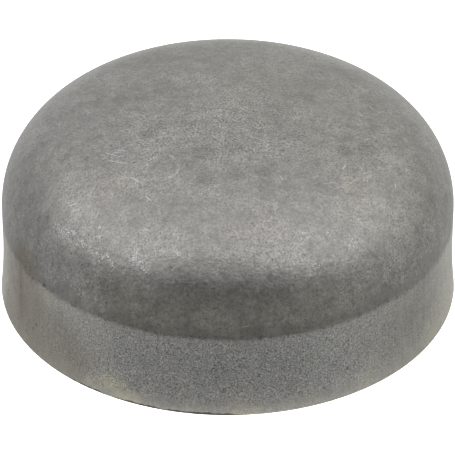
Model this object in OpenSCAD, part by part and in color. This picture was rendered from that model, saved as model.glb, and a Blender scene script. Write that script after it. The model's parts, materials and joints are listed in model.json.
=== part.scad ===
// Domed end cap that is welded to the end of a round steel tube.
// It is one cup drawn from sheet: a straight bore inside, a plain band outside that swells
// to the tube's diameter at the mouth, and a rounded shoulder that runs into a shallow crown.
// The mouth's face lies on Z = 0 with its centre at the origin, and the crown points up.

/* [Tube] */
// Outside diameter of the tube, which the cap's mouth matches
tube_od = 50.8; // [42:0.1:64]

/* [Dome] */
// Thickness of the drawn wall
wall = 3.2; // [2:0.1:5]
// Outside radius of the shoulder, between the side wall and the crown
shoulder_r = 10; // [7:0.1:14]
// Height of the crown's centre above the top of the shoulder's circle
crown_rise = 1.6; // [0.6:0.1:4]

/* [Band] */
// Height of the plain band, from the mouth's face to the draw line
band_h = 9.7; // [9:0.1:16]
// Height of the straight wall between the draw line and the shoulder
land_h = 1.2; // [0.6:0.1:4]
// Growth of the mouth's radius beyond the band
mouth_swell = 0.4; // [0.1:0.02:1]
// Height over which the mouth swells
swell_h = 7; // [3:0.1:8.4]

/* [Edges] */
// Depth of the draw line, where the drawn dome ends and the band begins
draw_line_depth = 0.08; // [0.04:0.01:0.2]
// Width of the draw line
draw_line_w = 0.5; // [0.3:0.05:1]
// Radius of the round on the mouth's outer edge
mouth_edge_r = 0.25; // [0.1:0.05:1]
// Chamfer on the mouth's inner edge
bore_chamfer = 0.3; // [0.1:0.05:1]

/* [Hidden] */
$fn = 180;

steel = [0.50, 0.50, 0.48];

// How far each cutting shape runs past the face that it cuts
over = 1;

// The side wall and the bore
mouth_r = tube_od / 2;
side_r = mouth_r - mouth_swell;
bore_r = side_r - wall;

// The shoulder's circle is centred inside the wall, level with the top of the straight side
shoulder_x = side_r - shoulder_r;
shoulder_z = band_h + land_h;

// The crown's circle is centred on the axis and touches the shoulder's circle from outside
height = shoulder_z + shoulder_r + crown_rise;
crown_r = (shoulder_x ^ 2 + 2 * shoulder_r * crown_rise + crown_rise ^ 2) / (2 * crown_rise);
crown_z = height - crown_r;
crown_half_angle = asin(shoulder_x / (crown_r - shoulder_r));

// The swell is an arc that leaves the band upright and is full where the mouth's edge turns in
swell_rise = swell_h - mouth_edge_r;
swell_arc_r = (swell_rise ^ 2 + mouth_swell ^ 2) / (2 * mouth_swell);

// The draw line is an arc through its two edges and its depth
draw_line_arc_r = ((draw_line_w / 2) ^ 2 + draw_line_depth ^ 2) / (2 * draw_line_depth);

// The radius on which the shoulder's arc hands over to the crown's, drawn out to a given length
function handover(length) = [
    shoulder_x + length * sin(crown_half_angle),
    shoulder_z + length * cos(crown_half_angle)
];

// Half outline of the dome above the straight side, taken in from the outside by inset
module dome_outline(inset) {
    reach = height + over;

    // Shoulder: a quarter of its circle, which past the handover lies inside the crown's slice
    intersection() {
        translate([shoulder_x, shoulder_z])
            circle(shoulder_r - inset);
        translate([shoulder_x, shoulder_z])
            square(reach);
    }

    // Crown: a slice of its circle, from the handover to the axis
    intersection() {
        translate([0, crown_z])
            circle(crown_r - inset);
        polygon([
            [0, shoulder_z],
            [shoulder_x, shoulder_z],
            handover(reach),
            [0, shoulder_z + reach]
        ]);
    }
}

// Half outline of the outside below the shoulder, run past the mouth's face
module side_outline() {
    translate([0, swell_h])
        square([side_r, shoulder_z - swell_h]);

    difference() {
        translate([0, -over])
            square([mouth_r + over, swell_h + over]);
        translate([side_r + swell_arc_r, swell_h])
            circle(swell_arc_r);
    }
}

// Half outline of the hollow: the straight bore and the inside of the dome
module hollow_outline() {
    translate([0, -2 * over])
        square([bore_r, shoulder_z + 2 * over]);
    dome_outline(wall);
}

// Shallow groove round the side at the top of the band
module draw_line_cut() {
    translate([side_r - draw_line_depth + draw_line_arc_r, band_h])
        circle(draw_line_arc_r);
}

// What the trimmed mouth loses: all below its face, the corner of its outer edge and a chamfer
module mouth_cut() {
    translate([0, -2 * over])
        square([mouth_r + 2 * over, 2 * over]);

    difference() {
        translate([mouth_r - mouth_edge_r, -over])
            square([mouth_edge_r + over, mouth_edge_r + over]);
        translate([mouth_r - mouth_edge_r, mouth_edge_r])
            circle(mouth_edge_r);
    }

    polygon([
        [bore_r - over, -over],
        [bore_r + bore_chamfer + over, -over],
        [bore_r - over, bore_chamfer + over]
    ]);
}

// Half section through the cap
module cap_section() {
    difference() {
        union() {
            side_outline();
            dome_outline(0);
        }
        hollow_outline();
        draw_line_cut();
        mouth_cut();
    }
}

module end_cap() {
    color(steel)
        rotate_extrude()
            cap_section();
}

end_cap();
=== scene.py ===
import functools
import json
import math

import bmesh
import bpy
from mathutils import Matrix, Vector, noise


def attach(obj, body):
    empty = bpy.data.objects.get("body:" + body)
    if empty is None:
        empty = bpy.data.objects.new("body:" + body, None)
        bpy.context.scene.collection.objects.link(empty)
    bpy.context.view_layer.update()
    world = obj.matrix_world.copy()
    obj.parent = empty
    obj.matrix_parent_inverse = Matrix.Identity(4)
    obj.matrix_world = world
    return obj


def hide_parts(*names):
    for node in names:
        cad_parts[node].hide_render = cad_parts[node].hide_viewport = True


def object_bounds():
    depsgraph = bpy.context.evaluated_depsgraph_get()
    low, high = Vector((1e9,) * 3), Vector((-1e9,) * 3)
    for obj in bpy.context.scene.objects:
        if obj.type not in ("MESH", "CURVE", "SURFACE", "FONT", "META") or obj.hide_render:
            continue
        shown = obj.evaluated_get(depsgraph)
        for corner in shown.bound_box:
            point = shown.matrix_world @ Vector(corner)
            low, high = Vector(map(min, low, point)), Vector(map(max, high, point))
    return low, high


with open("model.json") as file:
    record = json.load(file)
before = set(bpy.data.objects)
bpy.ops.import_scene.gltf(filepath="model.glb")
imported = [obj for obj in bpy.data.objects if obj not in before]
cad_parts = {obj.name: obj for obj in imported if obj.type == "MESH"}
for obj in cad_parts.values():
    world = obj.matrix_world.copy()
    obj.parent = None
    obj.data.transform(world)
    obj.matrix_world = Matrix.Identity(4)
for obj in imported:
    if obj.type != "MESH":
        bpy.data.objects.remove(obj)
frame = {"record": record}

# The imported solid's own box, whose radius and height size the cap
cad_low, cad_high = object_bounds()

MM = 0.001

# Sizes of the drawn cap, in metres. The overall sizes and the bore come from the frame.
mounts = {mount["name"]: mount for mount in frame["record"]["mounts"]}
mouth_r = cad_high.x
height = cad_high.z
bore_r = mounts["bore"]["dims"]["r_mm"] * MM
MOUTH_SWELL = 0.4 * MM
SWELL_H = 7.0 * MM
MOUTH_EDGE_R = 0.25 * MM
BORE_CHAMFER = 0.3 * MM
BAND_H = 9.7 * MM
LAND_H = 1.2 * MM
SHOULDER_R = 10.0 * MM
DRAW_LINE_DEPTH = 0.02 * MM
DRAW_LINE_W = 0.5 * MM

side_r = mouth_r - MOUTH_SWELL
shoulder_x = side_r - SHOULDER_R
shoulder_z = BAND_H + LAND_H
crown_rise = height - shoulder_z - SHOULDER_R
crown_r = (shoulder_x ** 2 + 2 * SHOULDER_R * crown_rise + crown_rise ** 2) / (2 * crown_rise)
crown_z = height - crown_r
crown_half_angle = math.asin(shoulder_x / (crown_r - SHOULDER_R))
crown_len = crown_r * crown_half_angle
shoulder_len = SHOULDER_R * (math.pi / 2 - crown_half_angle)

# How finely the cap is turned: steps round the axis, and the length of a step along its section
TURN_STEPS = 320
OUTER_STEP = 0.32 * MM
INNER_STEP = 0.7 * MM
FINE_STEP = 0.09 * MM
MERGE_DIST = 1e-7
TOUCH = 1e-9


# The section, drawn as one line in the XZ plane

def steps_along(length, step):
    return max(2, round(length / step))


def draw_arc(bm, tip, centre, angle, step):
    """Carries the section on along an arc. A positive angle turns from up towards out."""
    pivot = Vector((centre[0], 0, centre[1]))
    length = abs(angle) * (tip.co - pivot).length
    swept = bmesh.ops.spin(
        bm, geom=[tip], cent=pivot, axis=(0, 1, 0), angle=angle, steps=steps_along(length, step)
    )
    return [part for part in swept["geom_last"] if isinstance(part, bmesh.types.BMVert)][0]


def draw_line(bm, tip, end, step):
    """Carries the section on along a straight line."""
    run = Vector((end[0], 0, end[1])) - tip.co
    count = steps_along(run.length, step)
    for _ in range(count):
        tip = bmesh.ops.extrude_vert_indiv(bm, verts=[tip])["verts"][0]
        bmesh.ops.translate(bm, verts=[tip], vec=run / count)
    return tip


def draw_outside(bm, tip):
    """Crown, shoulder, land, draw line, band and swelling mouth, down to the mouth's face."""
    tip = draw_arc(bm, tip, (0, crown_z), crown_half_angle, OUTER_STEP)
    tip = draw_arc(bm, tip, (shoulder_x, shoulder_z), math.pi / 2 - crown_half_angle, OUTER_STEP)

    half_w = DRAW_LINE_W / 2
    groove_r = (half_w ** 2 + DRAW_LINE_DEPTH ** 2) / (2 * DRAW_LINE_DEPTH)
    groove_x = side_r - DRAW_LINE_DEPTH + groove_r
    tip = draw_line(bm, tip, (side_r, BAND_H + half_w), FINE_STEP * 2)
    tip = draw_arc(bm, tip, (groove_x, BAND_H), -2 * math.asin(half_w / groove_r), FINE_STEP)
    tip = draw_line(bm, tip, (side_r, SWELL_H), OUTER_STEP)

    swell_rise = SWELL_H - MOUTH_EDGE_R
    swell_arc_r = (swell_rise ** 2 + MOUTH_SWELL ** 2) / (2 * MOUTH_SWELL)
    swell_angle = math.asin(swell_rise / swell_arc_r)
    tip = draw_arc(bm, tip, (side_r + swell_arc_r, SWELL_H), -swell_angle, OUTER_STEP)
    return draw_arc(bm, tip, (mouth_r - MOUTH_EDGE_R, MOUTH_EDGE_R), math.pi / 2, FINE_STEP)


def draw_inside(bm, tip):
    """Mouth's face, chamfer, bore and the hollow's dome, up to the axis."""
    tip = draw_line(bm, tip, (bore_r + BORE_CHAMFER, 0), OUTER_STEP)
    tip = draw_line(bm, tip, (bore_r, BORE_CHAMFER), FINE_STEP)
    tip = draw_line(bm, tip, (bore_r, shoulder_z), INNER_STEP)
    tip = draw_arc(bm, tip, (shoulder_x, shoulder_z), crown_half_angle - math.pi / 2, INNER_STEP)
    return draw_arc(bm, tip, (0, crown_z), -crown_half_angle, INNER_STEP)


# The cap, turned from its section and then given the unevenness of drawn steel

WAVE_DEPTH = 0.012 * MM
WAVE_SIZE = 7 * MM
LINE_WANDER = 0.07 * MM
LINE_WANDER_SIZE = 1.6 * MM
LINE_REACH = 1.1 * MM
BURR_DEPTH = 0.035 * MM
BURR_SIZE = 0.9 * MM
SHARP_ANGLE = math.radians(28)


def outward(place):
    """Level unit vector from the axis to a place. On the axis itself it points up."""
    flat = Vector((place.x, place.y, 0))
    return flat.normalized() if flat.length > TOUCH else Vector((0, 0, 1))


def faces_in(part, place):
    """True for the hollow's side of the wall and for the mouth's face."""
    return part.normal.dot(outward(place)) + part.normal.z < 0


def turn_section(bm, steps):
    """Turns a drawn section once round the axis."""
    bmesh.ops.spin(
        bm, geom=bm.verts[:] + bm.edges[:], cent=(0, 0, 0), axis=(0, 0, 1),
        angle=math.tau, steps=steps, use_merge=True,
    )
    bmesh.ops.remove_doubles(bm, verts=bm.verts[:], dist=MERGE_DIST)


def turn_cap():
    bm = bmesh.new()
    tip = bm.verts.new((0, 0, height))
    tip = draw_outside(bm, tip)
    draw_inside(bm, tip)
    turn_section(bm, TURN_STEPS)
    bmesh.ops.recalc_face_normals(bm, faces=bm.faces[:])
    return bm


def roughen(bm):
    """Shallow waves over the dome, a draw line that wanders, and a nibbled mouth edge."""
    bm.normal_update()
    moves = {}
    for vert in bm.verts:
        if faces_in(vert, vert.co):
            continue
        out = outward(vert.co)
        wave = 0.5 + 0.5 * noise.noise(vert.co / WAVE_SIZE)
        move = -vert.normal * WAVE_DEPTH * wave * min(1, vert.co.z / BAND_H)
        near_line = max(0, 1 - abs(vert.co.z - BAND_H) / LINE_REACH)
        wander = noise.fractal(out * side_r / LINE_WANDER_SIZE, 0.8, 2.0, 3)
        move += Vector((0, 0, LINE_WANDER * wander * near_line))
        near_edge = max(0, 1 - vert.co.z / (2 * MOUTH_EDGE_R))
        nibble = max(0, noise.noise(out * mouth_r / BURR_SIZE + Vector((3.1, 0, 0))))
        move -= out * BURR_DEPTH * nibble * near_edge
        moves[vert] = move
    for vert, move in moves.items():
        vert.co += move


def unroll(bm):
    """A flat map of the cap: distance from the crown's centre along the section, in metres, by bearing."""
    layer = bm.loops.layers.uv.new("Unrolled")
    for face in bm.faces:
        for loop in face.loops:
            x, y, z = loop.vert.co
            r = math.hypot(x, y)
            tilt = math.atan2(r - shoulder_x, z - shoulder_z)
            if z < shoulder_z:
                run = crown_len + shoulder_len + shoulder_z - z
            elif tilt > crown_half_angle:
                run = crown_len + SHOULDER_R * (tilt - crown_half_angle)
            else:
                run = crown_r * math.asin(min(1, r / crown_r))
            bearing = math.atan2(y, x)
            loop[layer].uv = (run * math.cos(bearing), run * math.sin(bearing))


OUTSIDE, MOUTH, HOLLOW = range(3)


def sort_faces(bm):
    """Gives each face the slot of its finish, and marks the sharp edges."""
    for face in bm.faces:
        face.smooth = True
        middle = face.calc_center_median()
        if not faces_in(face, middle):
            face.material_index = OUTSIDE
        elif middle.z < BORE_CHAMFER:
            face.material_index = MOUTH
        else:
            face.material_index = HOLLOW
    for edge in bm.edges:
        edge.smooth = edge.calc_face_angle(0) < SHARP_ANGLE


# Shader arithmetic

class Value:
    """A shader socket that takes part in plain arithmetic: each operator adds a Math node."""

    def __init__(self, nodes, socket):
        self.nodes = nodes
        self.socket = socket

    def __add__(self, other):
        return self.nodes.math("ADD", self, other)

    def __radd__(self, other):
        return self.nodes.math("ADD", other, self)

    def __sub__(self, other):
        return self.nodes.math("SUBTRACT", self, other)

    def __rsub__(self, other):
        return self.nodes.math("SUBTRACT", other, self)

    def __mul__(self, other):
        return self.nodes.math("MULTIPLY", self, other)

    def __rmul__(self, other):
        return self.nodes.math("MULTIPLY", other, self)

    def __truediv__(self, other):
        return self.nodes.math("DIVIDE", self, other)


class Nodes:
    """A node tree, and the few kinds of node that the finishes and the room are made of."""

    def __init__(self, tree):
        self.tree = tree

    def node(self, kind, settings, sockets, output=0):
        """Adds a node: its settings first, then the values or links of its sockets."""
        made = self.tree.nodes.new(kind)
        for name, setting in settings.items():
            setattr(made, name, setting)
        for name, value in sockets.items():
            self.feed(made.inputs[name], value)
        return Value(self, made.outputs[output])

    def feed(self, socket, value):
        if isinstance(value, Value):
            self.tree.links.new(value.socket, socket)
        else:
            socket.default_value = value

    def other(self, value, output):
        """Another output of the node that a value comes from."""
        return Value(self, value.socket.node.outputs[output])

    def math(self, operation, *values):
        return self.node("ShaderNodeMath", {"operation": operation}, dict(enumerate(values)))

    def vector(self, operation, *values, output=0):
        return self.node("ShaderNodeVectorMath", {"operation": operation}, dict(enumerate(values)), output)

    def parts(self, vector):
        """The three numbers of a vector."""
        first = self.node("ShaderNodeSeparateXYZ", {}, {0: vector})
        return first, self.other(first, 1), self.other(first, 2)

    def rise(self, value, low, high):
        """0 up to low, 1 from high on and smooth between them. With low above high it falls."""
        sockets = {0: value, 1: low, 2: high, 3: 0.0, 4: 1.0}
        return self.node("ShaderNodeMapRange", {"interpolation_type": "SMOOTHSTEP"}, sockets)


class Finish(Nodes):
    """A material of the cap, with textures laid out in metres."""

    def __init__(self, name):
        self.material = bpy.data.materials.new(name)
        self.material.use_nodes = True
        super().__init__(self.material.node_tree)
        self.place = self.node("ShaderNodeTexCoord", {}, {}, "Object")
        self.flat = self.node("ShaderNodeUVMap", {"uv_map": "Unrolled"}, {}, "UV")

    def grain(self, size, detail=2.0, rough=0.5, place=None, shift=(0, 0, 0)):
        """Noise about 0, mostly within 0.25 of it, whose lumps are about size across."""
        moved = self.vector("ADD", place or self.place, shift)
        sockets = {"Vector": moved, "Scale": 1 / size, "Detail": detail, "Roughness": rough}
        return self.node("ShaderNodeTexNoise", {"noise_dimensions": "3D"}, sockets, "Fac") - 0.5

    def spot(self, centre, radius):
        """1 at a point on the cap, falling smoothly to 0 at a radius."""
        return self.rise(self.vector("DISTANCE", self.place, centre, output="Value"), radius, 0.0)

    def spots(self, places):
        """Several spots together, each given by its bearing, run and radius."""
        return self.most(self.spot(on_cap(bearing, run), radius * MM) for bearing, run, radius in places)

    def stroke(self, offset, turn, reach, width):
        """A straight scratch along X, once its offset from the middle is turned by an angle."""
        sockets = {"Vector": offset, "Angle": turn}
        turned = self.node("ShaderNodeVectorRotate", {"rotation_type": "Z_AXIS"}, sockets)
        along, across, _ = self.parts(turned)
        ends = self.rise(self.math("ABSOLUTE", along) / reach, 1.0, 0.4)
        return ends * self.rise(self.math("ABSOLUTE", across), width, 0.0)

    def nicks(self, pitch, length, width, share, shift):
        """Short scratches at all angles, at most one to a cell of the flat map."""
        moved = self.vector("ADD", self.flat, shift)
        sockets = {"Vector": moved, "Scale": 1 / pitch}
        middle = self.node("ShaderNodeTexVoronoi", {"voronoi_dimensions": "2D"}, sockets, "Position")
        turn, luck, stretch = self.parts(self.other(middle, "Color"))
        reach = length / 2 * (0.4 + 0.6 * stretch)
        scratch = self.stroke(self.vector("SUBTRACT", moved, middle), turn * math.tau, reach, width)
        return scratch * self.math("LESS_THAN", luck, share)

    def mark(self, start, end, width):
        """One scratch between two places, each given by its bearing and run."""
        start, end = on_map(*start), on_map(*end)
        along = end - start
        offset = self.vector("SUBTRACT", self.flat, (start + end) / 2)
        return self.stroke(offset, -math.atan2(along.y, along.x), along.length / 2, width * MM)

    def most(self, values):
        """The greatest of several values, each compared as soon as it is made."""
        return functools.reduce(lambda one, other: self.math("MAXIMUM", one, other), values)

    def blend(self, mask, below, above):
        """One colour over another."""
        return self.node("ShaderNodeMix", {"data_type": "RGBA"}, {0: mask, 6: below, 7: above}, 2)

    def tone(self, colour, value):
        """A colour made lighter or darker by a value round 1."""
        grey = self.node("ShaderNodeCombineColor", {}, {0: value, 1: value, 2: value})
        settings = {"data_type": "RGBA", "blend_type": "MULTIPLY"}
        return self.node("ShaderNodeMix", settings, {0: 1.0, 6: colour, 7: grey}, 2)

    def bump(self, height, depth):
        return self.node("ShaderNodeBump", {}, {"Distance": depth, "Height": height}, "Normal")

    def surface(self, **sockets):
        """Feeds the shader's sockets, named with underscores for spaces."""
        shader = self.tree.nodes["Principled BSDF"]
        for name, value in sockets.items():
            self.feed(shader.inputs[name.replace("_", " ")], value)
        return self.material


# Places on the outside, by bearing (0 at the front, 90 on the right) and by run: the distance
# along the section from the crown's centre, in millimetres

def on_cap(bearing, run):
    run = run * MM
    if run < crown_len:
        tilt = run / crown_r
        r, z = crown_r * math.sin(tilt), crown_z + crown_r * math.cos(tilt)
    elif run < crown_len + shoulder_len:
        tilt = crown_half_angle + (run - crown_len) / SHOULDER_R
        r, z = shoulder_x + SHOULDER_R * math.sin(tilt), shoulder_z + SHOULDER_R * math.cos(tilt)
    else:
        r, z = side_r, shoulder_z - (run - crown_len - shoulder_len)
    angle = math.radians(bearing)
    return Vector((r * math.sin(angle), -r * math.cos(angle), z))


def on_map(bearing, run):
    """The same place on the flat map."""
    angle = math.radians(bearing)
    return run * MM * Vector((math.sin(angle), -math.cos(angle), 0))


# Finishes

DOME_STEEL = (0.302, 0.296, 0.282, 1)
WARM_DOME = (0.303, 0.297, 0.273, 1)
LOW_DOME = (0.328, 0.321, 0.288, 1)
STAINED_DOME = (0.245, 0.225, 0.200, 1)
PINK_BLOOM = (0.325, 0.297, 0.270, 1)
# Pale steel of the scratches and nicks, partly painted glint
NICK_STEEL_AND_GLINT = (0.900, 0.900, 0.910, 1)
BAND_STEEL = (0.459, 0.455, 0.434, 1)
WARM_BAND = (0.459, 0.450, 0.400, 1)
STAINED_BAND = (0.363, 0.340, 0.303, 1)
DULL_BAND = (0.362, 0.357, 0.330, 1)
# Light warm colour of the band's foot and a few patches: partly a yellow tint of the steel, partly painted
# warm reflection of the floor
WARM_FOOT_TINT_AND_REFLECTION = (0.565, 0.547, 0.460, 1)
RUST = (0.300, 0.243, 0.172, 1)
# Near black, for real dark specks and for the painted shadow along the mouth's edge
DIRT_AND_EDGE_SHADOW = (0.075, 0.073, 0.068, 1)
TRIMMED_STEEL = (0.430, 0.424, 0.408, 1)
HOLLOW_STEEL = (0.270, 0.264, 0.248, 1)

# Places on the outside, each with its bearing, run and radius.
# Scuffs are patches on the shoulder where nicks crowd together, lightened partly with painted glints; rubs
# are fainter ones, the worn places above the draw line are fainter still, and wisps are thin strokes on the
# crown.
SCUFFS = (
    (-52, 24.4, 1.2), (-49.5, 24.4, 1.1), (-46.5, 24.4, 1.4), (-42, 24.5, 1.6), (-38, 23.5, 1.2),
    (-36, 24.9, 1.5), (-33.5, 25.0, 1.2), (-31, 25.5, 1.4), (-25, 24.4, 1.4), (-22, 24.8, 1.3),
    (-39, 22.2, 1.0), (-25, 23.2, 0.9), (-14, 22.6, 1.0), (-44, 29.0, 1.0), (-38.5, 29.9, 1.0),
    (158, 24.3, 1.5), (164, 25.0, 1.3), (-141, 24.6, 1.4),
)
RUBS = (
    (20, 24.0, 1.7), (24, 25.0, 1.8), (29, 24.5, 1.4), (33, 25.4, 1.0), (35, 23.8, 1.6), (23, 21.5, 1.4),
    (31, 21.7, 1.3), (-20, 22.8, 1.0), (-45, 29.1, 1.5), (-39, 29.9, 1.2), (92, 24.2, 1.6), (118, 25.1, 1.7),
    (125, 24.0, 1.5), (-172, 25.3, 1.8), (-150, 23.6, 1.5), (-104, 24.9, 1.6),
)
WORN_PLACES = (
    (-49, 28.6, 4.5), (-34, 29.0, 4.0), (-20, 29.6, 3.0), (12, 29.3, 3.0), (46, 29.0, 4.5), (63, 28.0, 4.0),
    (105, 29.2, 4.5), (150, 28.8, 4.0), (-160, 29.0, 4.5), (-115, 28.6, 4.0),
)
WISPS = (
    (-63, 15.3, 1.6), (-58, 13.8, 1.7), (-52, 12.6, 1.3), (-40, 15.3, 1.4), (-31, 17.0, 1.3), (-57, 8.3, 1.2),
    (31, 8.2, 1.3), (42, 16.5, 1.6), (7, 14.6, 1.2), (128, 14.2, 1.8), (176, 12.5, 1.6), (-137, 15.8, 1.7),
)
SMUDGES = (
    (-18, 8.2, 2.6), (-11, 12.7, 2.0), (5, 11.4, 1.8), (19, 11.6, 1.6), (71, 16.1, 2.3), (64, 14.1, 1.8),
    (-31, 28.0, 3.2), (-38, 26.8, 1.8), (4, 7.0, 2.0), (-66, 9.5, 1.8),
)
PALE_PLACES = ((-159, 2.2, 8.0), (99, 11.4, 5.0), (25, 19.4, 3.0), (-7, 18.3, 2.6), (32, 25.4, 3.0))
BLOOMS = ((47, 18.0, 4.5), (8, 19.5, 4.5), (-45, 17.5, 3.5), (29, 23.2, 2.0))
STAINS = ((-63, 35.5, 8.5), (-62, 33.0, 6.0), (-62, 40.5, 8.0), (-71, 40.5, 5.5))
FAINT_STAIN = (-48, 39.5, 9.5)
DULL_PLACES = ((50, 36.5, 11.0), (58, 33.0, 6.0))
YELLOW_PATCHES = ((-30.5, 39.8, 1.9), (-27, 40.3, 2.3), (-23.5, 40.8, 1.6), (2, 41.2, 1.2), (6.5, 41.1, 1.3))
FAINT_YELLOW = ((3, 41.2, 3.2), (21, 41.2, 3.0), (36, 40.9, 3.4), (62, 40.6, 4.0), (-34, 40.6, 2.2))
CROWN_GRAIN = ((0, 3.0, 14.0),)
SIDE_GRAIN = ((-64, 14.5, 9.0), (64, 14.0, 9.0))
RUST_SPECKS = (-61, 30.6, 3.6)
BLACK_SPOT = (-52, 31.7, 0.4)

# Single scratches: the bearing and run of both ends, and the half width in millimetres
MARKS = (
    ((52, 15.6), (56, 15.4), 0.17), ((103, 16.0), (99, 16.4), 0.08), ((-53, 22.1), (-50, 21.0), 0.09),
    ((-51, 22.4), (-48, 21.5), 0.07), ((3, 30.4), (5.4, 30.2), 0.09), ((26, 12.6), (26, 13.6), 0.09),
    ((62, 20.7), (60, 21.3), 0.09), ((-59, 9.4), (-54, 7.1), 0.07), ((40, 17.1), (49, 17.7), 0.06),
    ((-65, 14.9), (-58, 13.9), 0.09), ((-60, 15.4), (-50, 13.8), 0.08), ((-64, 13.9), (-58, 12.6), 0.1),
    ((-44, 15.2), (-37, 15.4), 0.1), ((-32, 16.8), (-28, 17.2), 0.12), ((36, 8.2), (27, 8.4), 0.09),
)
RING_PLACE = (-35, 12.4)
RING_R = 2.2 * MM
RING_SQUEEZE = (1.25, 1, 0)

# Kinds of scratch: the pitch, length and width of its strokes
HAIRLINES = (5 * MM, 4.5 * MM, 0.05 * MM)
LONG_NICKS = (2.1 * MM, 1.1 * MM, 0.09 * MM)
WISP_STROKES = (0.8 * MM, 1.3 * MM, 0.08 * MM)
SHORT_NICKS = (0.5 * MM, 0.6 * MM, 0.065 * MM)
TINY_NICKS = (0.27 * MM, 0.28 * MM, 0.06 * MM)
PIT_STROKES = (0.6 * MM, 0.42 * MM, 0.17 * MM)

# Zones along Y: where each begins to show and where it is full
FRONT = (-13 * MM, -22 * MM)
FOREMOST = (-14 * MM, -24.5 * MM)
LOW_FRONT = (-17 * MM, -22.5 * MM)
EDGE_SHADOW_FRONT = (-10 * MM, -20 * MM)
SIDES = (-12 * MM, -3 * MM)

# Zones along X, and along the diagonal from the front left to the back right, in the same way
EDGE_SHADOW_RIGHT = (3 * MM, -1 * MM)
EDGE_SHADOW_LEFT = (-26 * MM, -5 * MM)
RUST_SIDE = (0.0, -1 * MM)
WARM_DIAGONAL = (-16 * MM, 14 * MM)
RING_DIAGONAL = (-1.8 * MM, -0.4 * MM)

# Zones by height, in the same way. The crease's heights are above the draw line.
LOW_SIDE = (height - 3 * MM, shoulder_z)
LOW_DOME_TOP = (16.5 * MM, 13 * MM)
ROUGH_DOME_TOP = (16 * MM, 14 * MM)
COMBED_FOOT = (14.5 * MM, 16 * MM)
COMBED_TOP = (19.5 * MM, 18 * MM)
PITS_FOOT = (14.0 * MM, 15.2 * MM)
PITS_TOP = (16.4 * MM, 15.7 * MM)
DOME_STAIN_TOP = (13.5 * MM, 11 * MM)
CREASE = (2.2 * MM, 0.1 * MM)
BAND_TOP = (5.5 * MM, 8.5 * MM)
FOOT_TOP = (2.6 * MM, 0.8 * MM)
RUST_FOOT = (0.5 * MM, 4.5 * MM)
RUST_TOP = (13 * MM, 10 * MM)

# How far noise moves the edges of the marks
CREASE_WOBBLE = 2.0 * MM
RING_WOBBLE = 1.8 * MM
RUST_WOBBLE = 1.6 * MM
FOOT_WOBBLE = 1.5 * MM
LINE_WOBBLE = 0.8 * MM
EDGE_SHADOW_WOBBLE = 0.7 * MM

# Widths and heights of the marks
RUST_RUN_BEARING = -64
RUST_RUN_HALF_W = 0.9 * MM
RUST_HAZE_HALF_W = 3.2 * MM
RING_HALF_W = 0.16 * MM
LINE_SOFT = 0.4 * MM
LINE_SHARPER = 0.1 * MM
EDGE_SHADOW_H = 0.34 * MM
EDGE_SHADOW_SOFT = 0.1 * MM

# Depth of the bumps, and the gloss
RELIEF_DEPTH = 0.008 * MM
TRIM_RING_DEPTH = 0.01 * MM
DOME_ROUGHNESS = 0.385
MOUTH_ROUGHNESS = 0.42
HOLLOW_ROUGHNESS = 0.5


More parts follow.
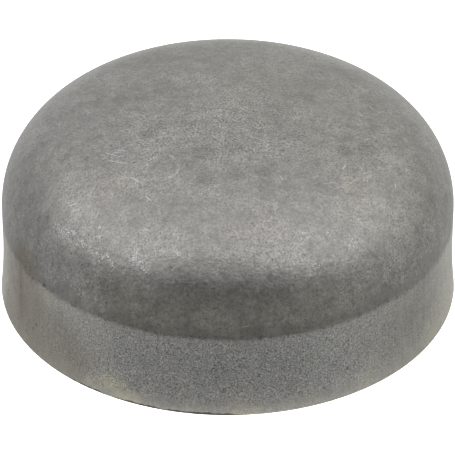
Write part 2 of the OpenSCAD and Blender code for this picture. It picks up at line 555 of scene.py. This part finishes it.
class DrawnOutside(Finish):
    """Dull drawn steel on the dome, and a lighter, sandy band below the draw line, layer by layer."""

    def __init__(self):
        super().__init__("drawn_steel_outside")
        self.x, self.y, self.up = self.parts(self.place)
        self.above_line = self.up - BAND_H
        self.front = self.rise(self.y, *FRONT)

        # Unevenness at five scales, marks drawn out along the section and round the front, and stains
        self.cloud = self.grain(6 * MM, 3, 0.5)
        self.mottle = self.grain(1.5 * MM, 3, 0.6)
        self.speck = self.grain(0.45 * MM, 2, 0.6, shift=(0.11, 0.03, 0))
        self.fine = self.grain(0.19 * MM, 1.5, 0.6)
        self.sand = self.grain(0.16 * MM, 1.2, 0.7, shift=(0.02, 0.07, 0))
        level = self.vector("NORMALIZE", self.vector("MULTIPLY", self.place, (1, 1, 0)))
        around = self.vector("MULTIPLY", level, (side_r, side_r, 0))
        drawn = self.vector("ADD", around, self.vector("MULTIPLY", self.place, (0, 0, 0.12)))
        self.streaks = self.grain(0.45 * MM, 2, 0.6, place=drawn)
        crosswise = self.vector("MULTIPLY", self.place, (0.3, 1, 1))
        self.combed = self.grain(0.24 * MM, 2, 0.6, place=crosswise)
        faint_stain = self.rise(self.spots((FAINT_STAIN,)), 0.0, 0.8) * 0.8
        self.stain = self.most((self.rise(self.spots(STAINS), 0.0, 0.7), faint_stain))
        self.stain = self.stain * self.rise(self.mottle + self.cloud, -0.7, 0.05)
        self.grainy = 0.35 + 0.7 * self.rise(self.cloud + self.mottle * 0.4, -0.12, 0.16)
        self.grainy = self.grainy + 0.9 * self.spots(CROWN_GRAIN) + 0.3 * self.spots(SIDE_GRAIN)

    def ring(self):
        """A faint round scratch, broken on the side towards the front left."""
        offset = self.vector("SUBTRACT", self.flat, on_map(*RING_PLACE))
        squeezed = self.vector("MULTIPLY", offset, RING_SQUEEZE)
        off_edge = self.vector("LENGTH", squeezed, output="Value") - RING_R
        edge = self.rise(self.math("ABSOLUTE", off_edge + self.mottle * RING_WOBBLE), RING_HALF_W, 0.0)
        right, back, _ = self.parts(offset)
        return edge * self.rise(right + back, *RING_DIAGONAL) * self.rise(self.speck, -0.2, 0.1)

    def scratches(self):
        """Faint strokes that only show as a lighter line, and nicks that are also felt. Their lightening is
        partly painted glint.
        """
        uneven = self.mottle * 1.6
        scuff = self.rise(self.spots(SCUFFS) + uneven, 0.25, 0.85)
        scuff = self.most((scuff, self.rise(self.spots(RUBS) + uneven, 0.25, 0.85) * 0.55))
        scuff = self.most((scuff, self.rise(self.spots(WORN_PLACES) + uneven, 0.1, 0.9) * 0.25))
        wisp = self.rise(self.spots(WISPS) + uneven, 0.2, 0.8)
        patchy = self.rise(self.grain(2.5 * MM, 3, 0.6, shift=(0.05, 0.02, 0)), -0.02, 0.12)
        hairlines = self.nicks(*HAIRLINES, 0.5, (0.13, 0.47, 0))
        long_nicks = self.nicks(*LONG_NICKS, 0.35, (0.31, 0.17, 0))
        wisps = self.nicks(*WISP_STROKES, 0.75 * wisp, (0.41, 0.67, 0))
        short_share = 0.02 + 0.12 * patchy + 0.4 * scuff
        short_nicks = self.nicks(*SHORT_NICKS, short_share, (0.53, 0.29, 0))
        tiny_share = 0.05 * patchy + 0.45 * scuff
        tiny_nicks = self.nicks(*TINY_NICKS, tiny_share, (0.77, 0.41, 0))
        nicks = self.most((short_nicks * (0.13 + 0.6 * scuff), tiny_nicks * (0.25 + 0.5 * scuff)))
        rubbed = scuff * self.rise(self.fine + self.speck * 0.6, 0.02, 0.2)
        marks = self.most(self.mark(*mark) for mark in MARKS)
        strokes = (hairlines * 0.1, long_nicks * 0.14, wisps * 0.3, self.ring() * 0.33, marks * 0.4)
        return self.most(strokes + (rubbed * 0.2,)), nicks

    def pits(self):
        """Small dark pits along the front of the shoulder's foot."""
        share = 0.5 * self.rise(self.up, *PITS_TOP) * self.rise(self.up, *PITS_FOOT)
        share = share * self.front * self.rise(self.mottle, -0.04, 0.12)
        return self.nicks(*PIT_STROKES, share, (0.19, 0.83, 0))

    def dome(self, scratches):
        smudge = self.rise(self.spots(SMUDGES) + self.mottle * 0.8, 0.1, 0.9)
        low_side = self.rise(self.up, *LOW_SIDE)
        tone = 1 + self.cloud * 0.5 + self.mottle * 0.55 + self.speck * 0.6 + self.fine * self.grainy * 1.6
        tone = tone + self.streaks * low_side * 0.32 + self.spots(PALE_PLACES) * 0.08
        combed_zone = self.rise(self.up, *COMBED_FOOT) * self.rise(self.up, *COMBED_TOP) * self.front
        tone = tone + self.combed * combed_zone * 0.5
        tone = tone + (self.mottle * 0.15 + self.speck * 0.25) * self.rise(self.up, *ROUGH_DOME_TOP)
        tone = tone * (1 - smudge * 0.2) * (1 - self.pits() * 0.45)
        crease = self.rise(self.above_line + self.mottle * CREASE_WOBBLE, *CREASE)
        tone = tone * (1 - crease * (0.02 + 0.5 * self.rise(self.speck + self.fine * 0.7, -0.05, 0.25)))

        low_front = self.rise(self.up, *LOW_DOME_TOP) * self.rise(self.y, *LOW_FRONT)
        steel = self.blend(self.rise(self.x + self.y, *WARM_DIAGONAL), DOME_STEEL, WARM_DOME)
        steel = self.blend(low_front, steel, LOW_DOME)
        bloom = self.spots(BLOOMS) * self.rise(self.mottle + self.cloud * 0.5, -0.12, 0.2)
        steel = self.blend(bloom * 0.5, steel, PINK_BLOOM)
        steel = self.blend(self.stain * self.rise(self.up, *DOME_STAIN_TOP) * 0.8, steel, STAINED_DOME)
        # Scratches and nicks turn towards pale steel: partly bright cut steel, partly painted glint
        return self.blend(scratches, self.tone(steel, tone), NICK_STEEL_AND_GLINT)

    def band(self, foot):
        foremost = self.rise(self.y, *FOREMOST)
        coarse = (2.8 - 1.8 * foot) * (0.52 + 0.48 * foremost) * (1 - 0.3 * self.stain)
        tone = 1 + self.cloud * 0.25 + self.mottle * 0.2 + self.speck * 0.3
        tone = tone + self.streaks * (0.38 - 0.18 * self.front) + self.rise(self.y, *SIDES) * 0.1
        tone = tone + self.sand * coarse + self.rise(self.up, *BAND_TOP) * 0.07
        tone = tone * (1 - self.stain * self.rise(self.speck, 0.07, 0.22) * 0.42)
        yellow = self.rise(self.spots(YELLOW_PATCHES) + self.mottle * 0.8, 0.15, 0.75)
        faint = self.rise(self.spots(FAINT_YELLOW) + self.mottle * 0.8, 0.0, 0.9) * 0.38
        steel = self.blend(self.front, WARM_BAND, BAND_STEEL)
        steel = self.blend(self.spots(DULL_PLACES), steel, DULL_BAND)
        steel = self.blend(self.stain, steel, STAINED_BAND)
        # The foot of the band and a few patches turn light and warm: partly a yellow tint of the steel,
        # partly painted warm reflection of the floor
        tint_and_reflection = self.most((foot * 0.08 * (1 - self.stain), faint, yellow))
        return self.tone(self.blend(tint_and_reflection, steel, WARM_FOOT_TINT_AND_REFLECTION), tone)

    def rust_run(self):
        """A run of rust down the left of the band."""
        angle = math.radians(RUST_RUN_BEARING)
        across = self.x * math.cos(angle) + self.y * math.sin(angle) + self.mottle * RUST_WOBBLE
        across = self.math("ABSOLUTE", across)
        run = self.rise(across, RUST_HAZE_HALF_W, 0.0) * 0.35
        run = run + self.rise(across, RUST_RUN_HALF_W, 0.0) * 0.65
        run = run * self.rise(self.x, *RUST_SIDE) * self.rise(self.streaks + self.mottle * 0.6, -0.4, 0.05)
        return run * self.rise(self.up, *RUST_FOOT) * self.rise(self.up, *RUST_TOP)

    def painted_edge_shadow(self):
        """A painted shadow: a ragged dark line along the mouth's edge, most of it at the front left."""
        ragged = self.grain(1.1 * MM, 4, 0.7, shift=(0.3, 0, 0)) + self.cloud
        most = self.rise(self.y, *EDGE_SHADOW_FRONT) * self.rise(self.x, *EDGE_SHADOW_RIGHT)
        most = most * self.rise(self.x, *EDGE_SHADOW_LEFT)
        return self.rise(self.up - ragged * EDGE_SHADOW_WOBBLE - most * EDGE_SHADOW_H, EDGE_SHADOW_SOFT, 0.0)

    def made(self):
        strokes, nicks = self.scratches()
        foot = self.rise(self.up + self.cloud * FOOT_WOBBLE, *FOOT_TOP)
        ragged = self.mottle + self.speck * 1.3 + (self.fine + self.sand) * (1.9 - 0.9 * self.front)
        soft = LINE_SOFT - self.front * LINE_SHARPER
        band = self.rise(self.above_line + ragged * LINE_WOBBLE, soft, 0 - soft)
        colour = self.blend(band, self.dome(self.most((strokes, nicks))), self.band(foot))

        rust_run = self.rust_run()
        rusty = self.spots((RUST_SPECKS,))
        specks = rusty * (0.3 + 0.7 * self.rise(self.speck + self.fine, 0.0, -0.16))
        colour = self.blend(self.most((rust_run * 0.6, specks * 0.7)), colour, RUST)
        black_specks = self.rise(rusty, 0.1, 0.7) * self.rise(self.speck + self.fine, 0.06, 0.2)
        # The dark line along the mouth's edge is painted shadow; the black spot and the specks are real dark
        # marks
        dirt_and_edge_shadow = self.most((self.painted_edge_shadow() * 0.85, self.spots((BLACK_SPOT,)), black_specks * 0.65))
        colour = self.blend(dirt_and_edge_shadow, colour, DIRT_AND_EDGE_SHADOW)

        roughness = DOME_ROUGHNESS + band * 0.06 + self.mottle * 0.1 + self.stain * 0.05 + rust_run * 0.1
        relief = self.fine * self.grainy * (1 - band) + self.sand * band * (1.3 - foot)
        relief = relief + nicks * 1.6 + self.mottle * 8 + self.speck * 3
        normal = self.bump(relief, RELIEF_DEPTH)
        return self.surface(Base_Color=colour, Metallic=1.0, Roughness=roughness, Normal=normal)


def trimmed_mouth():
    """The face that the trimming tool left: brighter than the rest, with rings from its edge."""
    f = Finish("trimmed_steel_mouth")
    level = f.vector("MULTIPLY", f.place, (1, 1, 0))
    from_axis = f.vector("LENGTH", level, output="Value")
    rings = f.grain(0.22 * MM, 2, 0.6, place=f.node("ShaderNodeCombineXYZ", {}, {0: from_axis}))
    cloud = f.grain(4 * MM, 4, 0.6)
    tone = 1 + f.grain(0.15 * MM, 2, 0.6) * 0.5 + rings * 0.9 + cloud * 0.4
    steel = f.blend(f.rise(cloud, 0.0, 0.2) * 0.6, TRIMMED_STEEL, STAINED_BAND)
    colour = f.tone(steel, tone)
    normal = f.bump(rings, TRIM_RING_DEPTH)
    roughness = MOUTH_ROUGHNESS + cloud * 0.1
    return f.surface(Base_Color=colour, Metallic=1.0, Roughness=roughness, Normal=normal)


def drawn_hollow():
    """The inside as the punch left it, duller than the outside."""
    f = Finish("drawn_steel_hollow")
    cloud = f.grain(5 * MM, 4, 0.6)
    drawn = f.grain(0.5 * MM, 2, 0.6, place=f.vector("MULTIPLY", f.place, (1, 1, 0.12)))
    tone = 1 + cloud * 0.6 + drawn * 0.6 + f.grain(0.2 * MM, 2, 0.6) * 0.6
    steel = f.blend(f.rise(cloud, 0.02, 0.2) * 0.5, HOLLOW_STEEL, STAINED_DOME)
    roughness = HOLLOW_ROUGHNESS + cloud * 0.1
    return f.surface(Base_Color=f.tone(steel, tone), Metallic=1.0, Roughness=roughness)


def make_object(bm, name, materials):
    mesh = bpy.data.meshes.new(name)
    bm.to_mesh(mesh)
    bm.free()
    for material in materials:
        mesh.materials.append(material)
    made = bpy.data.objects.new(name, mesh)
    bpy.context.scene.collection.objects.link(made)
    return made


def make_cap():
    bm = turn_cap()
    unroll(bm)
    roughen(bm)
    bm.normal_update()
    sort_faces(bm)
    cap = make_object(bm, "drawn_cap", (DrawnOutside().made(), trimmed_mouth(), drawn_hollow()))
    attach(cap, "root")
    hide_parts("end_cap")


# Stage, lights and camera

def plain_material(name, colour, strength):
    material = bpy.data.materials.new(name)
    material.use_nodes = True
    shader = material.node_tree.nodes["Principled BSDF"]
    shader.inputs["Base Color"].default_value = colour
    shader.inputs["Roughness"].default_value = 1.0
    shader.inputs["Emission Color"].default_value = colour
    shader.inputs["Emission Strength"].default_value = strength
    return material


FLOOR_R = 2.0
SWEEP_R = 0.8
FLOOR_STEPS = 64
FLOOR_DROP = 0.05 * MM
FLOOR_COLOUR = (0.9, 0.9, 0.9, 1)
CARD_R = 27.0 * MM
CARD_STEPS = 96
CARD_DROP = 0.03 * MM
CARD_COLOUR = (0.85, 0.845, 0.82, 1)


def make_floor():
    """A pale floor that sweeps up all round, so that every view has the same plain ground."""
    bm = bmesh.new()
    tip = bm.verts.new((0, 0, -FLOOR_DROP))
    tip = draw_line(bm, tip, (FLOOR_R, -FLOOR_DROP), FLOOR_R / 4)
    draw_arc(bm, tip, (FLOOR_R, SWEEP_R), -math.pi / 2, SWEEP_R / 6)
    turn_section(bm, FLOOR_STEPS)
    floor = make_object(bm, "floor", (plain_material("pale_floor", FLOOR_COLOUR, 1.0),))
    floor.visible_glossy = False


def make_card():
    """A small pale card under the cap, which the foot of the band mirrors."""
    bm = bmesh.new()
    bmesh.ops.create_circle(bm, cap_ends=True, segments=CARD_STEPS, radius=CARD_R)
    bmesh.ops.translate(bm, verts=bm.verts[:], vec=(0, 0, -CARD_DROP))
    card = make_object(bm, "card", (plain_material("pale_card", CARD_COLOUR, 0.0),))
    card.visible_camera = False


# The room: a glow that is stronger to the front and the back than to the sides, a broad soft panel
# overhead, and a dim front where the photographer and the camera stand. Angles are in degrees.
ROOM_GLOW = 0.660
GLOW_RIGHT = 0.030
GLOW_BACK = -0.230
GLOW_BOTH_ENDS = 0.519
GLOW_UP = -0.691
GLOW_DOWN = 0.171
PANEL_GLOW = 1.123
PANEL_FRONT = 61.0
PANEL_BACK = 50.5
PANEL_SIDE = 72.8
PANEL_SOFT = 58.0
HORIZON_SOFT = 0.03
LOW_FRONT_WIDTH = (100.5, 29.8)
LOW_FRONT_TOP = (0.545, 0.361)
LOW_FRONT_LOSS = 0.678
PHOTOGRAPHER = Vector((-0.0395, -0.8847, 0.4645))
PHOTOGRAPHER_WIDTH = (34.5, 26.5)
PHOTOGRAPHER_LOSS = 0.64


def make_room():
    world = bpy.data.worlds.new("room")
    world.use_nodes = True
    bpy.context.scene.world = world
    n = Nodes(world.node_tree)
    x, y, z = n.parts(n.node("ShaderNodeTexCoord", {}, {}, "Generated"))
    up = n.math("MAXIMUM", z, 0.001)
    down = n.math("MINIMUM", z, 0.0)
    glow = ROOM_GLOW + x * GLOW_RIGHT + y * GLOW_BACK + y * y * GLOW_BOTH_ENDS
    glow = glow + up * GLOW_UP + down * GLOW_DOWN

    half = PANEL_SOFT / 2
    to_side = n.math("ARCTAN2", n.math("ABSOLUTE", x), up) * math.degrees(1)
    to_front = n.math("ARCTAN2", 0 - y, up) * math.degrees(1)
    panel = n.rise(to_side, PANEL_SIDE + half, PANEL_SIDE - half)
    panel = panel * n.rise(to_front, PANEL_FRONT + half, PANEL_FRONT - half)
    panel = panel * n.rise(to_front, -PANEL_BACK - half, half - PANEL_BACK)
    panel = panel * n.rise(z, -HORIZON_SOFT, HORIZON_SOFT)

    bearing = n.math("ARCTAN2", n.math("ABSOLUTE", x), 0 - y) * math.degrees(1)
    low_front = n.rise(bearing, *LOW_FRONT_WIDTH) * n.rise(z, *LOW_FRONT_TOP)
    towards = z * PHOTOGRAPHER.z + y * PHOTOGRAPHER.y + x * PHOTOGRAPHER.x
    photographer = n.rise(n.math("ARCCOSINE", towards) * math.degrees(1), *PHOTOGRAPHER_WIDTH)
    light = glow + panel * PANEL_GLOW
    light = light * (1 - low_front * LOW_FRONT_LOSS) * (1 - photographer * PHOTOGRAPHER_LOSS)
    background = world.node_tree.nodes["Background"]
    background.inputs["Color"].default_value = (1, 1, 1, 1)
    n.feed(background.inputs["Strength"], light)


# The camera as fitted to the photograph's outline: pixels are those of its 455 by 455 frame
FRAME_PX = 455
FOCAL_PX = 3584.9
SENSOR_W = 36.0
CAMERA_ELEVATION = math.radians(34.066)
CAMERA_DISTANCE = 399 * MM
AXIS_OFF_CENTRE_PX = 0.274
AIM_H = 7.116 * MM


def make_camera():
    data = bpy.data.cameras.new("camera")
    data.sensor_width = SENSOR_W
    data.lens = FOCAL_PX * SENSOR_W / FRAME_PX
    data.clip_start = 0.01
    camera = bpy.data.objects.new("camera", data)
    back = Vector((0, -math.cos(CAMERA_ELEVATION), math.sin(CAMERA_ELEVATION)))
    aim = Vector((-AXIS_OFF_CENTRE_PX / FOCAL_PX * CAMERA_DISTANCE, 0, AIM_H))
    turn = (-back).to_track_quat("-Z", "Y").to_matrix().to_4x4()
    camera.matrix_world = Matrix.Translation(aim + back * CAMERA_DISTANCE) @ turn
    bpy.context.scene.collection.objects.link(camera)
    bpy.context.scene.camera = camera


make_camera()
make_cap()
make_floor()
make_card()
make_room()
bpy.context.scene.view_settings.view_transform = "Standard"
